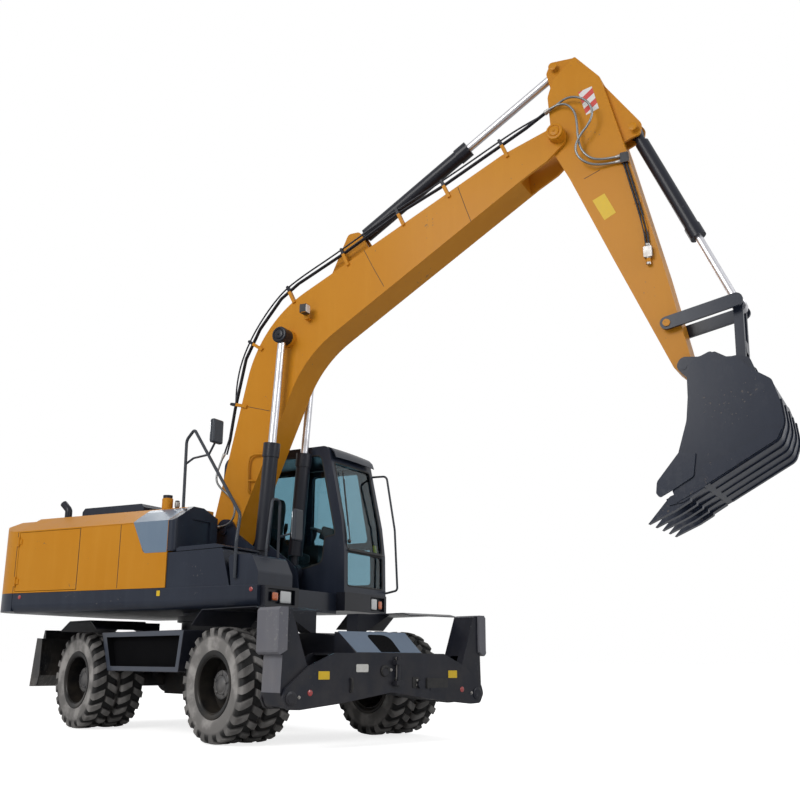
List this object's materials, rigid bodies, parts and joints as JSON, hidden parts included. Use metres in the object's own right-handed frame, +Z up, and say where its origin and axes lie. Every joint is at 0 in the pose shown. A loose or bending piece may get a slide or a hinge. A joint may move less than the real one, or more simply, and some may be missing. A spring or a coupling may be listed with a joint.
{
  "type": "wheeled excavator",
  "caption": "Wheeled excavator with twin tyres, dozer blade, stabilizer legs, slewing upper with cab and hood, and a boom, arm and toothed bucket on hydraulic cylinders.",
  "frame": {"origin": "on the ground under the centre of the slew ring", "axes": "+X towards the end with the stabilizer legs, +Y to the machine's left with the upper facing +X, +Z up"},
  "size_m": [8.7817, 4.3875, 7.0023],
  "materials": {
    "black": "satin",
    "chrome": "polished",
    "fabric": "woven",
    "glass": "clear",
    "hose": "braided",
    "iron": "rough",
    "navy": "satin",
    "plastic": "matte",
    "rim": "satin",
    "steel": "worn",
    "tyre": "dusty",
    "yellow": "satin"
  },
  "bodies": {
    "chassis": {"chassis_frame": "black", "axles": "black", "fenders_and_boxes": "black", "stabilizer_beam": "black"},
    "knuckle_right": {"knuckle_right": "black"},
    "knuckle_left": {"knuckle_left": "black"},
    "tie_rod": {"tie_rod": "steel"},
    "wheel_front_right": {"rims_front_right": "rim", "tyres_front_right": "tyre"},
    "wheel_front_left": {"rims_front_left": "rim", "tyres_front_left": "tyre"},
    "wheel_rear_right": {"rims_rear_right": "rim", "tyres_rear_right": "tyre"},
    "wheel_rear_left": {"rims_rear_left": "rim", "tyres_rear_left": "tyre"},
    "leg_right": {"leg_right": "black"},
    "leg_left": {"leg_left": "black"},
    "leg_barrel_right": {"leg_cylinder_barrel_right": "black"},
    "leg_barrel_left": {"leg_cylinder_barrel_left": "black"},
    "leg_rod_right": {"leg_cylinder_rod_right": "chrome"},
    "leg_rod_left": {"leg_cylinder_rod_left": "chrome"},
    "blade": {"blade": "black"},
    "blade_barrels": {"blade_cylinder_barrels": "black"},
    "blade_rods": {"blade_cylinder_rods": "chrome"},
    "upper": {"platform": "navy", "side_decks": "navy", "counterweight": "yellow", "engine_block": "iron", "hood": "yellow", "hood_fittings": "yellow", "hood_cap": "navy", "toolbox": "navy", "front_lamps": "black", "handrails": "black", "cab_shell": "navy", "cab_base": "navy", "cab_controls": "plastic", "seat_cushions": "fabric", "cab_glass": "glass", "hose_boom_foot": "hose"},
    "engine_lid": {"engine_lid": "navy"},
    "service_door_right": {"service_door_right": "yellow"},
    "service_door_left": {"service_door_left": "yellow"},
    "toolbox_lid": {"toolbox_lid": "navy"},
    "cab_door": {"cab_door": "navy", "door_glass": "glass"},
    "boom": {"boom": "yellow", "boom_pipes": "black", "hose_arm_upper": "hose", "hose_arm_lower": "hose"},
    "boom_barrels": {"boom_cylinder_barrels": "black"},
    "boom_rods": {"boom_cylinder_rods": "chrome"},
    "arm": {"arm": "yellow"},
    "arm_barrel": {"arm_cylinder_barrel": "black"},
    "arm_rod": {"arm_cylinder_rod": "chrome"},
    "bucket_barrel": {"bucket_cylinder_barrel": "black"},
    "bucket_rod": {"bucket_cylinder_rod": "chrome"},
    "rocker": {"rocker_links": "navy"},
    "h_link": {"h_link": "navy"},
    "bucket": {"bucket": "navy"}
  },
  "joints": [
    {"name": "steer_right", "type": "hinge", "parent": "chassis", "child": "knuckle_right", "pos_m": [1.545, -0.72, 0.527], "axis": [0, 0, 1], "range_deg": [-28, 28]},
    {"name": "steer_left", "type": "hinge", "parent": "chassis", "child": "knuckle_left", "pos_m": [1.545, 0.72, 0.527], "axis": [0, 0, 1], "range_deg": [-28, 28]},
    {"name": "tie_rod_pivot", "type": "hinge", "parent": "knuckle_right", "child": "tie_rod", "pos_m": [1.76, -0.62, 0.565], "axis": [0, 0, 1], "range_deg": [-32.52, 32.52]},
    {"name": "wheel_front_right_spin", "type": "hinge", "parent": "knuckle_right", "child": "wheel_front_right", "pos_m": [1.545, -0.95, 0.527], "axis": [0, 1, 0], "continuous": true},
    {"name": "wheel_front_left_spin", "type": "hinge", "parent": "knuckle_left", "child": "wheel_front_left", "pos_m": [1.545, 0.95, 0.527], "axis": [0, 1, 0], "continuous": true},
    {"name": "wheel_rear_right_spin", "type": "hinge", "parent": "chassis", "child": "wheel_rear_right", "pos_m": [-1.295, -0.95, 0.527], "axis": [0, 1, 0], "continuous": true},
    {"name": "wheel_rear_left_spin", "type": "hinge", "parent": "chassis", "child": "wheel_rear_left", "pos_m": [-1.295, 0.95, 0.527], "axis": [0, 1, 0], "continuous": true},
    {"name": "leg_right_swing", "type": "hinge", "parent": "chassis", "child": "leg_right", "pos_m": [2.49, -1.154, 0.437], "axis": [1, 0, 0], "range_deg": [0, 118]},
    {"name": "leg_barrel_right_pivot", "type": "hinge", "parent": "chassis", "child": "leg_barrel_right", "pos_m": [2.49, -0.17, 0.7], "axis": [1, 0, 0], "range_deg": [-10.62, 0]},
    {"name": "leg_rod_right_slide", "type": "slide", "parent": "leg_barrel_right", "child": "leg_rod_right", "axis": [0, -0.988, -0.1542], "range_m": [0, 0.51133]},
    {"name": "leg_left_swing", "type": "hinge", "parent": "chassis", "child": "leg_left", "pos_m": [2.49, 1.154, 0.437], "axis": [-1, 0, 0], "range_deg": [0, 118]},
    {"name": "leg_barrel_left_pivot", "type": "hinge", "parent": "chassis", "child": "leg_barrel_left", "pos_m": [2.49, 0.17, 0.7], "axis": [-1, 0, 0], "range_deg": [-10.62, 0]},
    {"name": "leg_rod_left_slide", "type": "slide", "parent": "leg_barrel_left", "child": "leg_rod_left", "axis": [0, 0.988, -0.1542], "range_m": [0, 0.51133]},
    {"name": "blade_lift", "type": "hinge", "parent": "chassis", "child": "blade", "pos_m": [-1.53, 0, 0.56], "axis": [0, -1, 0], "range_deg": [0, 31]},
    {"name": "blade_barrels_pivot", "type": "hinge", "parent": "chassis", "child": "blade_barrels", "pos_m": [-1.8, 0, 0.92], "axis": [0, -1, 0], "range_deg": [0, 26.5]},
    {"name": "blade_rods_slide", "type": "slide", "parent": "blade_barrels", "child": "blade_rods", "axis": [-0.8192, 0, -0.5735], "range_m": [0, 0.237]},
    {"name": "slew", "type": "hinge", "parent": "chassis", "child": "upper", "pos_m": [0, 0, 1.2175], "axis": [0, 0, 1], "continuous": true},
    {"name": "engine_lid_lift", "type": "hinge", "parent": "upper", "child": "engine_lid", "pos_m": [-1.66573, -0.5866, 2.363], "axis": [0.3322, -0.9432, 0], "range_deg": [0, 65]},
    {"name": "toolbox_lid_lift", "type": "hinge", "parent": "upper", "child": "toolbox_lid", "pos_m": [0.13017, 0.04584, 1.85], "axis": [0.3322, -0.9432, 0], "range_deg": [0, 75]},
    {"name": "service_door_right_swing", "type": "hinge", "parent": "upper", "child": "service_door_right", "pos_m": [-1.62312, -1.91486, 1.82], "axis": [0, 0, -1], "range_deg": [0, 100]},
    {"name": "service_door_left_swing", "type": "hinge", "parent": "upper", "child": "service_door_left", "pos_m": [-2.46481, 0.47527, 1.82], "axis": [0, 0, 1], "range_deg": [0, 100]},
    {"name": "cab_door_swing", "type": "hinge", "parent": "upper", "child": "cab_door", "pos_m": [-0.31114, 1.25384, 2.3], "axis": [0, 0, 1], "range_deg": [0, 110]},
    {"name": "boom_lift", "type": "hinge", "parent": "upper", "child": "boom", "pos_m": [0.09778, -0.09703, 2.15], "axis": [0.3322, -0.9432, 0], "range_deg": [-74, 23]},
    {"name": "boom_barrels_pivot", "type": "hinge", "parent": "upper", "child": "boom_barrels", "pos_m": [0.64957, 0.09728, 1.721], "axis": [0.3322, -0.9432, 0], "range_deg": [-71.88, 22.34]},
    {"name": "boom_rods_slide", "type": "slide", "parent": "boom_barrels", "child": "boom_rods", "axis": [0.0662, 0.0233, 0.9975], "range_m": [-0.88148, 0.27397]},
    {"name": "arm_fold", "type": "hinge", "parent": "boom", "child": "arm", "pos_m": [3.93198, 1.2532, 6.062], "axis": [-0.3322, 0.9432, 0], "range_deg": [-59, 55]},
    {"name": "arm_barrel_pivot", "type": "hinge", "parent": "boom", "child": "arm_barrel", "pos_m": [1.55978, 0.41782, 5.43], "axis": [-0.3322, 0.9432, 0], "range_deg": [-6.38, 5.95]},
    {"name": "arm_rod_slide", "type": "slide", "parent": "arm_barrel", "child": "arm_rod", "axis": [0.809, 0.2849, 0.5142], "range_m": [-0.73328, 0.68357]},
    {"name": "bucket_tilt", "type": "hinge", "parent": "arm", "child": "bucket", "pos_m": [4.98462, 1.6239, 3.396], "axis": [0.3322, -0.9432, 0], "range_deg": [-95, 80]},
    {"name": "rocker_pivot", "type": "hinge", "parent": "arm", "child": "rocker", "pos_m": [4.87426, 1.58503, 3.828], "axis": [0.3322, -0.9432, 0], "range_deg": [-72.2, 60.8]},
    {"name": "h_link_pivot", "type": "hinge", "parent": "bucket", "child": "h_link", "pos_m": [5.46094, 1.79164, 3.365], "axis": [0.3322, -0.9432, 0], "range_deg": [-61.6, 73.15]},
    {"name": "bucket_barrel_pivot", "type": "hinge", "parent": "arm", "child": "bucket_barrel", "pos_m": [4.66298, 1.51063, 5.98], "axis": [0.3322, -0.9432, 0], "range_deg": [-1.9, 1.6]},
    {"name": "bucket_rod_slide", "type": "slide", "parent": "bucket_barrel", "child": "bucket_rod", "axis": [0.3685, 0.1298, -0.9205], "range_m": [-0.53756, 0.63835]}
  ],
  "couplings": [
    {"joint": "steer_left", "follows": "steer_right", "ratio": 1},
    {"joint": "tie_rod_pivot", "follows": "steer_right", "ratio": -1.1613},
    {"joint": "leg_barrel_right_pivot", "follows": "leg_right_swing", "ratio": -0.09},
    {"joint": "leg_rod_right_slide", "follows": "leg_right_swing", "m_per_rad": 0.24828},
    {"joint": "leg_barrel_left_pivot", "follows": "leg_left_swing", "ratio": -0.09},
    {"joint": "leg_rod_left_slide", "follows": "leg_left_swing", "m_per_rad": 0.24828},
    {"joint": "blade_barrels_pivot", "follows": "blade_lift", "ratio": 0.855},
    {"joint": "blade_rods_slide", "follows": "blade_lift", "m_per_rad": 0.43804},
    {"joint": "boom_barrels_pivot", "follows": "boom_lift", "ratio": 0.9713},
    {"joint": "boom_rods_slide", "follows": "boom_lift", "m_per_rad": 0.6825},
    {"joint": "arm_barrel_pivot", "follows": "arm_fold", "ratio": 0.1082},
    {"joint": "arm_rod_slide", "follows": "arm_fold", "m_per_rad": 0.7121},
    {"joint": "rocker_pivot", "follows": "bucket_tilt", "ratio": 0.76},
    {"joint": "h_link_pivot", "follows": "bucket_tilt", "ratio": -0.77},
    {"joint": "bucket_barrel_pivot", "follows": "bucket_tilt", "ratio": 0.02},
    {"joint": "bucket_rod_slide", "follows": "bucket_tilt", "m_per_rad": -0.385}
  ]
}
